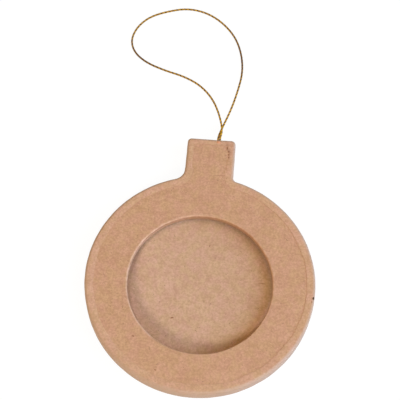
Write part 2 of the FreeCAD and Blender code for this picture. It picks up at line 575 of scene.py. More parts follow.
class Finishes:
    """All materials of the frame, made once."""

    def __init__(self) -> None:
        """Build each finish."""
        self.face = KraftFinish("kraft face", (200, 156, 123), (207, 164, 131), (190, 146, 113)).build()
        self.floor = KraftFinish(
            "kraft floor",
            (203, 165, 136),
            (210, 173, 144),
            (192, 152, 122),
            cloud_share=0.3,
            turn=-7,
            shift=40,
            # Painted light and shade on the window's floor: a warmer tint of the shade towards the lower
            # left, painted shade in a thin ring at the foot of the left wall, and painted bounce light
            # that lifts the deep shade at the lower right.
            rings=(
                PaintedLightRing(1.0, -4.0, 27.0, 33.0, (1.05, 0.985, 0.93, 1.0)),
                PaintedLightRing(3.0, -10.15, 31.4, 32.2, (0.82, 0.79, 0.76, 1.0)),
                PaintedLightRing(-9.0, -1.0, 39.6, 41.8, (1.18, 1.27, 1.6, 1.0)),
            ),
        ).build()
        self.wrap = KraftFinish(
            "kraft wrap", (205, 162, 130), (211, 170, 139), (194, 150, 118), turn=12, shift=80
        ).build()
        self.core = KraftFinish(
            "board core",
            (176, 150, 124),
            (190, 166, 140),
            (150, 124, 98),
            grain_share=0.9,
            fleck_share=0.9,
            shift=120,
        ).build()
        self.gold = ThreadFinish(
            "gold yarn",
            dull=(136, 92, 38),
            dull_deep=(88, 58, 22),
            bright=(244, 190, 44),
            bright_deep=(152, 106, 18),
            metallic=0.6,
            roughness=(0.33, 0.5),
        ).build()
        self.umber = ThreadFinish(
            "dark yarn",
            dull=(94, 64, 30),
            dull_deep=(58, 38, 14),
            bright=(156, 110, 22),
            bright_deep=(76, 48, 8),
            metallic=0.2,
            roughness=(0.53, 0.7),
        ).build()
        self.flake = FleckFinish("lifted flake", (228, 166, 128), (216, 154, 118)).build()
        self.crumb = FleckFinish("dark crumb", (84, 62, 44), (66, 48, 34)).build()
        self.torn = FleckFinish("torn spot", (142, 94, 58), (120, 78, 46)).build()
        self.speck = FleckFinish("brown speck", (168, 120, 86), (150, 104, 70)).build()
        self.crease = FleckFinish("pressed crease", (182, 138, 106), (172, 128, 97)).build()
        self.dark_fibre = FleckFinish("dark fibre", (138, 98, 68), (112, 76, 50)).build()
        self.pale_fibre = FleckFinish("pale fibre", (224, 190, 158), (212, 174, 140)).build()


class Maker:
    """Turns lists of points in millimetres into finished pieces in metres."""

    sharp_angle = math.radians(50)
    line_order = 3
    line_steps = 16

    @staticmethod
    def mesh(
        name: str,
        points: list | np.ndarray,
        faces: list[tuple[int, ...]],
        materials: list[Material],
        marks: dict[str, list | np.ndarray] | None = None,
    ) -> bpy.types.Mesh:
        """Make a smooth mesh.

        Args:
            name: Name of the mesh.
            points: Vertices in millimetres, one row each.
            faces: Vertex numbers of each face.
            materials: Materials of its slots.
            marks: Numbers at the points, by name.

        Returns:
            The new mesh.
        """
        mesh = bpy.data.meshes.new(name)
        mesh.from_pydata((np.asarray(points) * MM).tolist(), [], faces)
        for key, values in (marks or {}).items():
            layer = mesh.attributes.new(key, "FLOAT", "POINT")
            layer.data.foreach_set("value", np.asarray(values, dtype=np.float32))
        mesh.polygons.foreach_set("use_smooth", [True] * len(mesh.polygons))
        for material in materials:
            mesh.materials.append(material)
        mesh.update()
        return mesh

    @staticmethod
    def piece(mesh: bpy.types.Mesh) -> bpy.types.Object:
        """Make an object of a closed mesh, with all faces turned outwards.

        Args:
            mesh: The mesh, which gives the piece its name.

        Returns:
            The new piece.
        """
        work = bmesh.new()
        work.from_mesh(mesh)
        bmesh.ops.recalc_face_normals(work, faces=work.faces)
        work.to_mesh(mesh)
        work.free()
        mesh.update()
        return put_in_scene(mesh.name, mesh)

    @staticmethod
    def sharpen(piece: bpy.types.Object) -> None:
        """Keep a piece's sharper edges as creases in the shading."""
        piece.data.set_sharp_from_angle(angle=Maker.sharp_angle)

    @staticmethod
    def settle(piece: bpy.types.Object, slot: Slot, *nodes: str) -> bpy.types.Object:
        """Ride a piece on the frame, hide the solids that it replaces and report it.

        Args:
            piece: The finished piece.
            slot: Material slot of the record; not used.
            *nodes: Solids that it replaces.

        Returns:
            The same piece.
        """
        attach(piece, ROOT)
        if nodes:
            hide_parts(*nodes)
        log.info("%s made, %d faces", piece.name, len(piece.data.polygons))
        return piece

    @staticmethod
    def plain_mesh(piece: bpy.types.Object) -> bpy.types.Mesh:
        """Make the plain mesh of a piece as its modifiers, or its curve, shape it.

        Args:
            piece: The piece.

        Returns:
            A new mesh.
        """
        bpy.context.view_layer.update()
        graph = bpy.context.evaluated_depsgraph_get()
        return bpy.data.meshes.new_from_object(piece.evaluated_get(graph))

    @staticmethod
    def apply(piece: bpy.types.Object) -> None:
        """Replace a piece's mesh by its evaluated one and drop its modifiers.

        Args:
            piece: The piece to settle.
        """
        mesh = Maker.plain_mesh(piece)
        piece.modifiers.clear()
        old = piece.data
        piece.data = mesh
        mesh.name = piece.name
        bpy.data.meshes.remove(old)

    @staticmethod
    def line(points: list[Point], name: str) -> np.ndarray:
        """Points along a smooth open NURBS line.

        Args:
            points: Its control points in metres.
            name: Name of the curve while it lasts.

        Returns:
            One row for each point on the line, in metres.
        """
        data = bpy.data.curves.new(name, "CURVE")
        data.dimensions = "3D"
        spline = data.splines.new("NURBS")
        spline.points.add(len(points) - 1)
        for place, point in zip(spline.points, points):
            place.co = (*point, 1.0)
        spline.order_u = Maker.line_order
        spline.use_endpoint_u = True
        spline.resolution_u = Maker.line_steps
        piece = put_in_scene(name, data)
        mesh = Maker.plain_mesh(piece)
        found = np.array([tuple(vertex.co) for vertex in mesh.vertices])
        bpy.data.meshes.remove(mesh)
        bpy.data.objects.remove(piece)
        bpy.data.curves.remove(data)
        return found


@dataclass
class Outline:
    """Outline of the frame: round body, hollow shoulders and square neck."""

    disc_d: float = 95.0
    neck_rise: float = 18.0
    neck_w: float = 21.0
    corner_r: float = 2.0
    corner_min_r: float = 0.3
    left_hollow: float = 5.0
    right_hollow: float = 2.0
    seam_rise: float = 0.6
    step: float = 0.55
    arc_step: float = math.radians(6)

    def __post_init__(self) -> None:
        """Work out the centres, the seam's level and the disc's share of the turn."""
        self.disc_r = self.disc_d / 2
        self.disc_y = -self.neck_rise / 2
        self.top_y = self.disc_y + self.disc_r + self.neck_rise
        self.left_away = self.neck_w / 2 + self.left_hollow
        self.right_away = self.neck_w / 2 + self.right_hollow
        self.left_y = self.hollow_level(self.left_hollow, self.left_away)
        self.right_y = self.hollow_level(self.right_hollow, self.right_away)
        self.seam_y = max(self.left_y, self.right_y) + self.seam_rise
        self.right_turn = math.atan2(self.right_y - self.disc_y, self.right_away)
        self.left_turn = math.atan2(self.left_y - self.disc_y, -self.left_away)
        self.disc_turn = 2 * math.pi + self.right_turn - self.left_turn

    def hollow_level(self, radius: float, away: float) -> float:
        """Height of a shoulder's centre that makes it touch the disc."""
        return self.disc_y + math.sqrt((self.disc_r + radius) ** 2 - away**2)

    def run_size(self, run: Run) -> tuple[float, float]:
        """Length of a run and the angle that it turns by.

        Args:
            run: The run.

        Returns:
            Length in millimetres and angle in radians.
        """
        high = (self.top_y - self.corner_r - self.seam_y, 0.0)
        corner = (math.pi / 2 * self.corner_r, math.pi / 2)
        left_bend = math.pi - self.left_turn
        return {
            Run.RIGHT_HIGH: high,
            Run.LEFT_HIGH: high,
            Run.RIGHT_CORNER: corner,
            Run.LEFT_CORNER: corner,
            Run.TOP: (self.neck_w - 2 * self.corner_r, 0.0),
            Run.LEFT_LOW: (self.seam_y - self.left_y, 0.0),
            Run.RIGHT_LOW: (self.seam_y - self.right_y, 0.0),
            Run.LEFT_SHOULDER: (left_bend * self.left_hollow, left_bend),
            Run.RIGHT_SHOULDER: (self.right_turn * self.right_hollow, self.right_turn),
            Run.DISC: (self.disc_turn * self.disc_r, self.disc_turn),
        }[run]

    def stations(self, runs: list[Run], closed: bool) -> tuple[np.ndarray, np.ndarray, np.ndarray]:
        """Share stations out along some runs.

        Args:
            runs: The runs in order.
            closed: Whether the last joins the first.

        Returns:
            Run number, share of the run and distance along, for each station.
        """
        numbers, shares, along = [], [], []
        start = 0.0
        for run in runs:
            length, turn = self.run_size(run)
            count = max(2, math.ceil(length / self.step), math.ceil(turn / self.arc_step))
            for index in range(count):
                numbers.append(run.value)
                shares.append(index / count)
                along.append(start + length * index / count)
            start += length
        if not closed:
            numbers.append(runs[-1].value)
            shares.append(1.0)
            along.append(start)
        return np.array(numbers), np.array(shares), np.array(along)

    def at(self, numbers: np.ndarray, shares: np.ndarray, inset: np.ndarray | float) -> np.ndarray:
        """Plan position of stations on the outline drawn in by an inset.

        Args:
            numbers: Run of each station.
            shares: Share of the run of each station.
            inset: Inset in millimetres, for all stations or for each.

        Returns:
            One row of x and y for each station.
        """
        insets = np.broadcast_to(np.asarray(inset, float), numbers.shape)
        stations = zip(numbers.tolist(), shares.tolist(), insets.tolist())
        return np.array([self.point(Run(number), share, depth) for number, share, depth in stations])

    def point(self, run: Run, share: float, inset: float) -> tuple[float, float]:
        """Plan position of one point.

        Args:
            run: Run that it is on.
            share: Share of that run, from 0 to 1.
            inset: How far in from the edge.

        Returns:
            x and y in millimetres.
        """
        half = self.neck_w / 2 - inset
        top = self.top_y - inset
        corner = max(self.corner_r - inset, self.corner_min_r)
        if run is Run.DISC:
            turn = self.left_turn + share * self.disc_turn
            radius = self.disc_r - inset
            return radius * math.cos(turn), self.disc_y + radius * math.sin(turn)
        if run is Run.RIGHT_SHOULDER:
            turn = self.right_turn + math.pi - share * self.right_turn
            radius = self.right_hollow + inset
            return self.right_away + radius * math.cos(turn), self.right_y + radius * math.sin(turn)
        if run is Run.LEFT_SHOULDER:
            turn = -share * (math.pi - self.left_turn)
            radius = self.left_hollow + inset
            return -self.left_away + radius * math.cos(turn), self.left_y + radius * math.sin(turn)
        if run is Run.RIGHT_CORNER:
            turn = share * math.pi / 2
            return half - corner + corner * math.cos(turn), top - corner + corner * math.sin(turn)
        if run is Run.LEFT_CORNER:
            turn = (1 + share) * math.pi / 2
            return corner - half + corner * math.cos(turn), top - corner + corner * math.sin(turn)
        if run is Run.TOP:
            return (half - corner) * (1 - 2 * share), top
        if run is Run.RIGHT_HIGH:
            return half, self.seam_y + share * (top - corner - self.seam_y)
        if run is Run.LEFT_HIGH:
            return -half, self.seam_y + (1 - share) * (top - corner - self.seam_y)
        if run is Run.RIGHT_LOW:
            return half, self.right_y + share * (self.seam_y - self.right_y)
        return -half, self.left_y + (1 - share) * (self.seam_y - self.left_y)


@dataclass(frozen=True)
class ThreadHole:
    """Hole in the neck's top edge that the thread leaves through."""

    x: float = 2.9
    level: float = 3.65
    diameter: float = 2.2


@dataclass(frozen=True)
class Layers:
    """Levels of the boards, the paper round them, and how each surface is waved."""

    total: float = 7.5
    paper: float = 0.15
    back_top: float = 2.55
    front_low: float = 4.75
    edge_r: float = 1.1
    under_r: float = 0.8
    wave: float = 0.05
    wave_size: float = 21.0
    ripple: float = 0.014
    ripple_size: float = 5.5
    ripple_seed: float = 9.0
    face_seed: float = 1.0
    floor_seed: float = 3.0
    under_seed: float = 5.0

    def face(self) -> float:
        """Level of the front board's face."""
        return self.total - self.paper

    def back(self) -> float:
        """Level of the back board's underside."""
        return self.paper

    def waves(self, x: float, y: float, seed: float) -> float:
        """How far hand-pressed board lies off its plane at a point.

        Args:
            x: Plan position.
            y: Plan position.
            seed: Seed of the surface.

        Returns:
            Height in millimetres.
        """
        wave = Play(self.wave, self.wave_size, seed)
        ripple = Play(self.ripple, self.ripple_size, seed + self.ripple_seed)
        return wave.at(x, y) + ripple.at(x, y)


@dataclass(frozen=True)
class WindowEdgeLightAndShade:
    """Painted highlight on the window's edge, and dark tone with painted shade on its cut wall, by the
    depth below the face.
    """

    # Painted highlight on the rolled edge of the window, strongest on its upper left.
    highlight_side: float = math.radians(160)
    painted_light_mark: float = 0.16
    highlight_more: float = 0.37
    highlight_depth: float = 0.1
    highlight_reach: float = 0.2
    # Painted shade on the cut wall, strongest on its upper right and low on the wall.
    shaded_side: float = math.radians(50)
    wall: float = 0.15
    wall_more: float = 0.05
    wall_depth: float = 0.3
    wall_fade: float = 0.4
    foot: float = 0.4
    foot_depth: float = 1.1
    foot_fade: float = 0.5
    # Strength of the painted shadow line just under the rolled rim.
    edge_tone: float = 0.36
    rim_shadow_depth: float = 0.6
    rim_shadow_reach: float = 0.3

    @staticmethod
    def towards(aim: np.ndarray, side: float) -> float:
        """How far a direction points to a side, from -1 to 1."""
        return float(aim[0]) * math.cos(side) + float(aim[1]) * math.sin(side)

    def edge_at(self, depth: float, aim: np.ndarray) -> float:
        """How strong the painted highlight on the edge is at a depth and in a direction, from 0 to 1,
        most on its upper left.
        """
        towards = max(0.0, self.towards(aim, self.highlight_side))
        return (self.painted_light_mark + self.highlight_more * towards) * bell(depth - self.highlight_depth, self.highlight_reach)

    def wall_at(self, depth: float, aim: np.ndarray) -> float:
        """How dark the cut wall is, from 0 to 1: an even darker cut edge, painted shade most on its upper
        right and low on the wall, and a painted shadow line just under the rim.

        Args:
            depth: Depth of the point below the face.
            aim: Direction of the point from the window's centre.

        Returns:
            Strength of the dark tone.
        """
        towards = self.towards(aim, self.shaded_side)
        wall = (self.wall + self.wall_more * towards) * ramp(depth - self.wall_depth, self.wall_fade)
        foot = self.foot * max(0.0, towards) * ramp(depth - self.foot_depth, self.foot_fade)
        return wall + foot + self.edge_tone * bell(depth - self.rim_shadow_depth, self.rim_shadow_reach)


@dataclass
class Card:
    """One board of the frame, with its faces drawn out on rings round the window."""

    name: str
    node: str
    outline: Outline
    layers: Layers
    low: float
    high: float
    seed: float
    window_r: float = 0.0
    window_y: float = -10.15
    window_edge: float = 0.6
    round_steps: int = 6
    face_rings: int = 46
    under_rings: int = 10
    waved_depth: float = 0.5
    side_inset: float = 0.45
    top_inset: float = 0.95
    edge_drop: float = 0.4
    foot_step: float = 0.2
    hub_r: float = 0.6
    edge_light_and_shade: WindowEdgeLightAndShade = WindowEdgeLightAndShade()
    wobbles: tuple[Play, ...] = (Play(0.1, 7.0, 21.0), Play(0.05, 2.0, 22.0))
    wobble_fade: int = 8
    dents: tuple[tuple[float, float, float, float], ...] = ()

    def wall_steps(self) -> list[tuple[float, float, float]]:
        """Section from the window's foot up to its rolled corner.

        Returns:
            Share from window to edge, extra step out and level of each ring.
        """
        steps = [(0.0, 0.0, self.low), (0.0, 0.0, self.low + 0.5 * (self.high - self.low))]
        for index in range(self.round_steps + 1):
            turn = index / self.round_steps * math.pi / 2
            out = self.window_edge * (1 - math.cos(turn))
            rise = self.window_edge * (math.sin(turn) - 1)
            steps.append((0.0, out, self.high + rise))
        return steps

    def face_steps(self) -> list[tuple[float, float, float]]:
        """Section over the face, with the window's wall before it where there is one.

        Returns:
            Share from window to edge, extra step out and level of each ring.
        """
        steps = self.wall_steps() if self.window_r else [(0.0, 0.0, self.high)]
        for index in range(1, self.face_rings + 1):
            share = index / self.face_rings
            steps.append((share, self.window_edge * (1 - share), self.high))
        return steps

    def edge_steps(self) -> list[tuple[float, float]]:
        """Section down the board's covered outer edge.

        Returns:
            Inset and level of each ring.
        """
        side, low, high = self.side_inset, self.low, self.high
        drop = side + self.edge_drop
        if self.window_r:
            return [(side, high - drop), (side, low), (side + self.foot_step, low)]
        return [(side, high), (side, low + drop), (self.top_inset, low)]

    def rings(self) -> tuple[list[tuple[np.ndarray, float, bool]], np.ndarray]:
        """Rings of points over the face, down the edge and back underneath.

        Returns:
            Plan, level and whether it is waved, for each ring, and the direction of each spoke.
        """
        numbers, shares, _ = self.outline.stations(list(Run), True)
        outer = self.outline.at(numbers, shares, self.top_inset)
        centre = np.array([0.0, self.window_y])
        aim = unit(outer - centre)
        inner = centre + aim * (self.window_r or self.hub_r)
        wobble = np.array([[self.wobble(x, y)] for x, y in inner])
        rings = []
        for share, out, level in self.face_steps():
            step = out + wobble * (1 - share) ** self.wobble_fade
            ring = inner + (outer - inner) * share + aim * step
            rings.append((ring, level, abs(level - self.high) < self.waved_depth))
        for inset, level in self.edge_steps():
            rings.append((self.outline.at(numbers, shares, inset), level, False))
        if not self.window_r:
            for index in range(self.under_rings + 1):
                share = 1 - index / self.under_rings
                rings.append((inner + (outer - inner) * share, self.low, False))
        return rings, aim

    def build(self, material: Material) -> bpy.types.Object:
        """Make the board.

        Args:
            material: Face finish.

        Returns:
            The finished object.
        """
        rings, aim = self.rings()
        rows, columns = len(rings), len(aim)
        points = [
            (x, y, level + (self.lift(x, y) if waved else 0.0))
            for ring, level, waved in rings
            for x, y in ring
        ]
        faces = band(rows, columns, joined=self.window_r > 0)
        if not self.window_r:
            for row, lift in ((0, self.lift(0.0, self.window_y)), (rows - 1, 0.0)):
                hub = len(points)
                points.append((0.0, self.window_y, rings[row][1] + lift))
                for column in range(columns):
                    after = (column + 1) % columns
                    faces.append((hub, row * columns + column, row * columns + after))
        # Marks for the material: painted highlight on the window's edge, painted shade on its cut wall.
        painted_light_mark, stain_and_shade = np.zeros(len(points)), np.zeros(len(points))
        for row in range(len(self.wall_steps()) if self.window_r else 0):
            depth = self.high - rings[row][1]
            for column in range(columns):
                painted_light_mark[row * columns + column] = self.edge_light_and_shade.edge_at(depth, aim[column])
                stain_and_shade[row * columns + column] = self.edge_light_and_shade.wall_at(depth, aim[column])
        mesh = Maker.mesh(self.name, points, faces, [material], {"painted_light_mark": painted_light_mark, "stain_and_shade": stain_and_shade})
        piece = Maker.piece(mesh)
        Maker.sharpen(piece)
        return Maker.settle(piece, Slot.KRAFT_FACE, self.node)

    def wobble(self, x: float, y: float) -> float:
        """How far the window's hand-cut edge strays from its circle at a point."""
        return sum(play.at(x, y) for play in self.wobbles) if self.window_r else 0.0

    def lift(self, x: float, y: float) -> float:
        """How far the face lies off its plane, with its dents.

        Args:
            x: Plan position.
            y: Plan position.

        Returns:
            Height in millimetres.
        """
        rise = self.layers.waves(x, y, self.seed)
        for dent_x, dent_y, reach, depth in self.dents:
            rise -= depth * bell(math.hypot(x - dent_x, y - dent_y), reach)
        return rise


@dataclass
class PaperStrip:
    """A length of paper folded over the edge, with a lip on front and back."""

    name: str
    node: str
    strip: Strip
    outline: Outline
    layers: Layers
    hole: ThreadHole
    lip: float = 3.65
    lip_plays: tuple[Play, Play] = (Play(0.45, 9.0, 3.0, 3.0), Play(0.225, 2.2, 4.0, 3.0))
    back_lip: float = 3.2
    back_plays: tuple[Play, Play] = (Play(0.45, 9.0, 6.0, 6.0), Play(0.225, 2.2, 7.0, 6.0))
    neck_narrower: float = 0.75
    nick_side: float = 9.0
    nicks: tuple[tuple[float, float, float], ...] = (
        (53.5, 1.6, 0.9),
        (50.2, 1.1, -0.5),
        (47.6, 0.7, -0.35),
    )
    lip_steps: int = 8
    bend_steps: int = 6
    feather: float = 0.06
    pressed_feather: float = 0.14
    # Share of the paler side tone round the fold: partly rubbed paper, partly painted sheen and floor
    # bounce, strongest on the underside's rounding next to the floor.
    edge_tone: float = 0.65
    edge_tone_start: float = 0.15
    edge_tone_rise: float = 2.2
    foot_edge_tone: float = 0.95
    foot_fade: float = 0.8
    wall_relief: float = 0.6
    press_start: float = 8.0
    press_reach: float = 12.0
    neck_press_reach: float = 8.0
    flat_x: float = 11.0
    flat_y: float = 37.0
    flat_reach: float = 6.0
    flat_press: float = 0.9
    pleat_depth: float = 0.035
    pleat_gap: float = 5.5
    pleat_w: float = 0.42
    neck_pleats: float = 0.25
    pleat_stray: Play = Play(0.6, 14.0, 8.0, 1.0)
    pleat_height: float = 0.5
    pleat_play: Play = Play(1.0, 11.0, 4.0, 2.0)
    fold_in: float = 2.5
    ripple: Play = Play(0.07, 4.2, 12.0)
    ripple_stretch: float = 1.6
    crinkle: Play = Play(0.02, 0.9, 15.0)
    glue: float = 0.2
    glue_play: Play = Play(0.2, 5.0, 31.0, 4.0)
    glue_edge: float = 0.85
    glue_pressed: float = 0.8
    punch_sides: int = 40
    punch_depth: float = 4.0
    scuffs: tuple[tuple[float, float, float, float], ...] = (
        (7.7, 50.7, 0.8, 0.7),
        (7.85, 48.0, 0.6, 0.6),
        (6.8, 53.8, 0.7, 0.5),
        (6.9, 51.8, 0.7, 0.55),
        (7.9, 49.3, 0.5, 0.45),
    )

    def stain_and_shade(self, x: float, y: float, lip_edge: float, along: float) -> float:
        """How dark the front lip is at a point, from 0 to 1.

        Args:
            x: Plan position.
            y: Plan position.
            lip_edge: Share of the way out to the lip's edge.
            along: Distance along the strip.

        Returns:
            Strength of the stain.
        """
        glue = self.glue + self.glue_play.along(along)
        glue *= 1 - self.glue_pressed * self.pressed(x, y)
        dark = glue * ramp(lip_edge - self.glue_edge, 1 - self.glue_edge)
        for scuff_x, scuff_y, reach, strength in self.scuffs:
            dark = max(dark, strength * bell(math.hypot(x - scuff_x, y - scuff_y), reach))
        return dark

    def lip_width(self, x: float, y: float, along: float, front: bool) -> float:
        """Width of a lip at a station.

        Args:
            x: Plan position of the station.
            y: Plan position of the station.
            along: Distance along the strip.
            front: Front lip, or else the back one.

        Returns:
            Width in millimetres.
        """
        width = self.lip if front else self.back_lip
        width += sum(play.along(along) for play in (self.lip_plays if front else self.back_plays))
        if self.strip is Strip.NECK:
            width -= self.neck_narrower
            if front and x > self.nick_side:
                width += sum(gain * bell(y - at, reach) for at, reach, gain in self.nicks)
        return width

    def slack(self, run: Run, share: float) -> float:
        """How far the paper lies inside the outline at a place round the neck.

        Args:
            run: Run of the outline.
            share: Share of that run, from 0 to 1.

        Returns:
            Distance in millimetres.
        """
        slacks = {
            Run.RIGHT_CORNER: (0.0, 0.12),
            Run.TOP: (0.12, 0.27),
            Run.LEFT_CORNER: (0.27, 0.2),
            Run.LEFT_HIGH: (0.2, 0.1),
        }
        start, end = slacks.get(run, (0.0, 0.0))
        return start + (end - start) * share

    def pressed(self, x: float, y: float) -> float:
        """How flat the front lip's edge is pressed into the card.

        Args:
            x: Plan position.
            y: Plan position.

        Returns:
            Flatness, from 0 to 1.
        """
        reach = self.press_reach if self.strip is Strip.RIM else self.neck_press_reach
        left = ramp(self.press_start - reach - x, reach)
        spot = bell(math.hypot(x - self.flat_x, y - self.flat_y), self.flat_reach)
        return max(left, self.flat_press * spot)

    def section(
        self, front: float, back: float, pressed: float
    ) -> list[tuple[float, float, float, float]]:
        """Closed section of the folded paper.

        Args:
            front: Width of the front lip.
            back: Width of the back lip.
            pressed: How flat the front lip's edge lies, from 0 to 1.

        Returns:
            Inset, level, share of the relief and share of the side's paler tone, which is partly painted
            sheen.
        """
        total, edge, under = self.layers.total, self.layers.edge_r, self.layers.under_r
        feather = self.feather + (self.pressed_feather - self.feather) * pressed
        outer = []
        for index in range(self.lip_steps):
            share = index / self.lip_steps
            outer.append((front + (edge - front) * share, total - feather * (1 - share) ** 2, 1.0, 0.0))
        for index in range(self.bend_steps + 1):
            share = index / self.bend_steps
            turn = share * math.pi / 2
            side = self.edge_tone * min(1.0, self.edge_tone_start + self.edge_tone_rise * share)
            outer.append((edge - edge * math.sin(turn), total - edge + edge * math.cos(turn), 1.0, side))
        for index in range(1, self.lip_steps):
            share = index / self.lip_steps
            side = self.edge_tone + (self.foot_edge_tone - self.edge_tone) * share
            outer.append((0.0, total - edge - share * (total - edge - under), self.wall_relief, side))
        for index in range(self.bend_steps + 1):
            share = index / self.bend_steps
            turn = share * math.pi / 2
            side = self.foot_edge_tone * (1 - self.foot_fade * share)
            outer.append((under - under * math.cos(turn), under - under * math.sin(turn), 1.0, side))
        for index in range(1, self.lip_steps + 1):
            share = index / self.lip_steps
            outer.append((under + (back - under) * share, self.feather * share**2, 1.0, 0.0))
        return outer + [self.inside(place) for place in reversed(outer)]

    def inside(self, place: tuple[float, float, float, float]) -> tuple[float, float, float, float]:
        """The place on the paper's inner side that faces one on its outer side.

        Args:
            place: Inset, level, share of relief and share of paler tone on the outer side.

        Returns:
            The same four for the inner side.
        """
        inset, level, relief, side = place
        total, paper = self.layers.total, self.layers.paper
        edge, under = self.layers.edge_r, self.layers.under_r
        upper = level > total / 2
        radius = edge if upper else under
        if inset > radius:
            return inset, total - paper if upper else paper, relief, side
        if level > total - edge or level < under:
            middle = total - edge if upper else under
            share = 1 - paper / radius
            return radius + (inset - radius) * share, middle + (level - middle) * share, relief, side
        return paper, level, relief, side

    def pleats(self, along: float, turning: float) -> float:
        """Height of the small gathers at a place on the strip.

        Args:
            along: Distance along the strip.
            turning: How much the outline turns there, from 0 to 1.

        Returns:
            Height in millimetres.
        """
        place = along / self.pleat_gap + self.pleat_stray.along(along)
        ridge = bell((place - round(place)) * self.pleat_gap, self.pleat_w)
        return self.pleat_depth * turning * ridge * (self.pleat_height + self.pleat_play.along(along))

    def relieve(
        self, points: np.ndarray, grid: np.ndarray, places: tuple[np.ndarray, ...], inward: np.ndarray
    ) -> None:
        """Wave, gather and crinkle the paper.

        Args:
            points: Points of each section, changed in place.
            grid: Inset, level, relief and paler tone of each point.
            places: Run number, share and distance of each section.
            inward: Step in from the edge at each section.
        """
        middle = self.layers.total / 2
        for row, (number, share, along) in enumerate(zip(*places)):
            gather = self.pleats(along, 1.0 if number == Run.DISC.value else self.neck_pleats)
            slack = self.slack(Run(int(number)), float(share))
            for column in range(grid.shape[1]):
                x, y, level = points[row, column]
                inset, _, relief, _ = grid[row, column]
                upper = level > middle
                flat = min(1.0, inset / self.layers.edge_r)
                seed = self.layers.face_seed if upper else self.layers.under_seed
                lift = self.layers.waves(x, y, seed) * flat
                fold = gather * relief * min(1.0, inset / self.fold_in)
                ripple = self.ripple.at(along, level * self.ripple_stretch) * relief
                swell = (ripple + self.crinkle.at(along, level)) * (1 - flat) + slack
                points[row, column, 2] += (lift + fold) * (1 if upper else -1)
                points[row, column, :2] += inward[row] * swell
        points[:, :, 2] = np.maximum(points[:, :, 2], 0.0)

    def end_faces(self, rows: int, columns: int) -> list[tuple[int, ...]]:
        """Quads that close the strip at its first and last section.

        Args:
            rows: Number of sections.
            columns: Points in each.

        Returns:
            Point numbers of each quad.
        """
        quads = []
        for low in (0, (rows - 1) * columns):
            high = low + columns - 1
            for column in range(columns // 2 - 1):
                quads.append((low + column, low + column + 1, high - column - 1, high - column))
        return quads

    def build(self, material: Material) -> bpy.types.Object:
        """Make the strip.

        Args:
            material: Paper finish.

        Returns:
            The finished object.
        """
        places = self.outline.stations(STRIP_RUNS[self.strip], False)
        numbers, shares, along = places
        base = self.outline.at(numbers, shares, 0.0)
        inward = self.outline.at(numbers, shares, 1.0) - base
        sections = []
        for (x, y), distance in zip(base, along):
            front, back = (self.lip_width(x, y, distance, side) for side in (True, False))
            sections.append(self.section(front, back, self.pressed(x, y)))
        grid = np.array(sections)
        rows, columns = grid.shape[:2]
        plans = [self.outline.at(numbers, shares, grid[:, column, 0]) for column in range(columns)]
        points = np.dstack([np.stack(plans, axis=1), grid[:, :, 1]])
        self.relieve(points, grid, places, inward)
        stains = np.zeros((rows, columns))
        for row in range(rows):
            for column in range(self.lip_steps):
                x, y, _ = points[row, column]
                stains[row, column] = self.stain_and_shade(x, y, 1 - column / self.lip_steps, along[row])
        faces = band(rows, columns) + self.end_faces(rows, columns)
        marks = {"side": grid[:, :, 3].ravel(), "stain_and_shade": stains.ravel()}
        piece = Maker.piece(Maker.mesh(self.name, points.reshape(-1, 3), faces, [material], marks))
        if self.strip is Strip.NECK:
            self.pierce(piece)
        Maker.sharpen(piece)
        return Maker.settle(piece, Slot.KRAFT_WRAP, self.node)

    def pierce(self, piece: bpy.types.Object) -> None:
        """Punch the thread's hole through the paper at the neck's top.

        Args:
            piece: The neck's strip.
        """
        bpy.ops.mesh.primitive_cylinder_add(
            vertices=self.punch_sides,
            radius=self.hole.diameter / 2 * MM,
            depth=self.punch_depth * MM,
            location=(self.hole.x * MM, self.outline.top_y * MM, self.hole.level * MM),
            rotation=(math.pi / 2, 0, 0),
        )
        punch = bpy.context.object
        cut = piece.modifiers.new("hole", "BOOLEAN")
        cut.operation = "DIFFERENCE"
        cut.solver = "EXACT"
        cut.object = punch
        Maker.apply(piece)
        bpy.data.objects.remove(punch)


